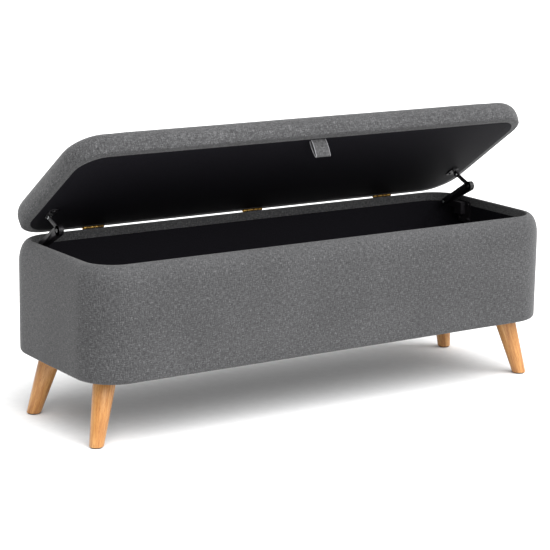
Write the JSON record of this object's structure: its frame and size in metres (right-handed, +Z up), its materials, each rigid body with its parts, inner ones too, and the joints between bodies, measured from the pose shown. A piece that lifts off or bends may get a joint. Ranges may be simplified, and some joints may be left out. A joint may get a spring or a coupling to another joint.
{
  "type": "storage bench",
  "caption": "Upholstered storage bench with a hinged padded lid on folding lid stays, a lined box with rounded corners, and splayed tapered wooden legs.",
  "frame": {"origin": "On the floor, under the middle of the bounding box with the lid part open at its resting angle; the lid overhangs the back a little, so the box itself is centred 5.2 mm in front of it.", "axes": "+X along the bench to its right end, +Y to the hinge side at the back, +Z up"},
  "size_m": [1.2, 0.4184, 0.641],
  "materials": {
    "grey_upholstery": "matte",
    "black_lining": "matte",
    "polyurethane_foam": "matte",
    "plywood": "matte",
    "lacquered_hardwood": "satin",
    "brassed_steel": "satin",
    "black_steel": "satin",
    "zinc_steel": "satin",
    "black_plastic": "matte"
  },
  "bodies": {
    "box": {"base_board": "plywood", "front_panel": "plywood", "back_panel": "plywood", "left_panel": "plywood", "right_panel": "plywood", "front_left_corner": "plywood", "front_right_corner": "plywood", "back_left_corner": "plywood", "back_right_corner": "plywood", "box_wadding": "polyurethane_foam", "box_cover": "grey_upholstery", "wall_lining": "black_lining", "floor_lining": "black_lining", "dust_cover": "black_lining", "front_left_leg": "lacquered_hardwood", "front_left_leg_plate": "black_steel", "front_left_hanger_bolt": "zinc_steel", "front_left_glide": "black_plastic", "front_right_leg": "lacquered_hardwood", "front_right_leg_plate": "black_steel", "front_right_hanger_bolt": "zinc_steel", "front_right_glide": "black_plastic", "back_left_leg": "lacquered_hardwood", "back_left_leg_plate": "black_steel", "back_left_hanger_bolt": "zinc_steel", "back_left_glide": "black_plastic", "back_right_leg": "lacquered_hardwood", "back_right_leg_plate": "black_steel", "back_right_hanger_bolt": "zinc_steel", "back_right_glide": "black_plastic", "left_hinge_box_leaf": "brassed_steel", "left_hinge_pin": "brassed_steel", "middle_hinge_box_leaf": "brassed_steel", "middle_hinge_pin": "brassed_steel", "right_hinge_box_leaf": "brassed_steel", "right_hinge_pin": "brassed_steel", "left_stay_wall_bracket": "black_steel", "left_stay_wall_pin": "zinc_steel", "right_stay_wall_bracket": "black_steel", "right_stay_wall_pin": "zinc_steel"},
    "lid": {"lid_board": "plywood", "seat_foam": "polyurethane_foam", "lid_cover": "grey_upholstery", "lid_lining": "black_lining", "pull_tab": "grey_upholstery", "left_hinge_lid_leaf": "brassed_steel", "middle_hinge_lid_leaf": "brassed_steel", "right_hinge_lid_leaf": "brassed_steel", "left_stay_lid_bracket": "black_steel", "right_stay_lid_bracket": "black_steel", "left_stay_lid_rivet": "zinc_steel", "right_stay_lid_rivet": "zinc_steel"},
    "left_lower_arm": {"left_stay_lower_arm": "black_steel", "left_stay_elbow_rivet": "black_steel"},
    "left_upper_arm": {"left_stay_upper_arm": "black_steel"},
    "right_lower_arm": {"right_stay_lower_arm": "black_steel", "right_stay_elbow_rivet": "black_steel"},
    "right_upper_arm": {"right_stay_upper_arm": "black_steel"}
  },
  "joints": [
    {"name": "lid_hinge", "type": "hinge", "parent": "box", "child": "lid", "pos_m": [0, 0.1808, 0.3885], "axis": [-1, 0, 0], "range_deg": [-34.8, 45.2]},
    {"name": "left_stay_wall_pivot", "type": "hinge", "parent": "box", "child": "left_lower_arm", "pos_m": [-0.55, 0.13177, 0.36831], "axis": [-1, 0, 0], "range_deg": [-34.8, 45.2]},
    {"name": "left_stay_elbow", "type": "hinge", "parent": "left_lower_arm", "child": "left_upper_arm", "pos_m": [-0.55, 0.0393, 0.421], "axis": [-1, 0, 0], "range_deg": [-45.2, 34.8]},
    {"name": "right_stay_wall_pivot", "type": "hinge", "parent": "box", "child": "right_lower_arm", "pos_m": [0.55, 0.13177, 0.36831], "axis": [-1, 0, 0], "range_deg": [-34.8, 45.2]},
    {"name": "right_stay_elbow", "type": "hinge", "parent": "right_lower_arm", "child": "right_upper_arm", "pos_m": [0.55, 0.0393, 0.421], "axis": [-1, 0, 0], "range_deg": [-45.2, 34.8]}
  ],
  "couplings": [
    {"joint": "left_stay_wall_pivot", "follows": "lid_hinge", "ratio": 1},
    {"joint": "left_stay_elbow", "follows": "lid_hinge", "ratio": -1},
    {"joint": "right_stay_wall_pivot", "follows": "lid_hinge", "ratio": 1},
    {"joint": "right_stay_elbow", "follows": "lid_hinge", "ratio": -1}
  ]
}
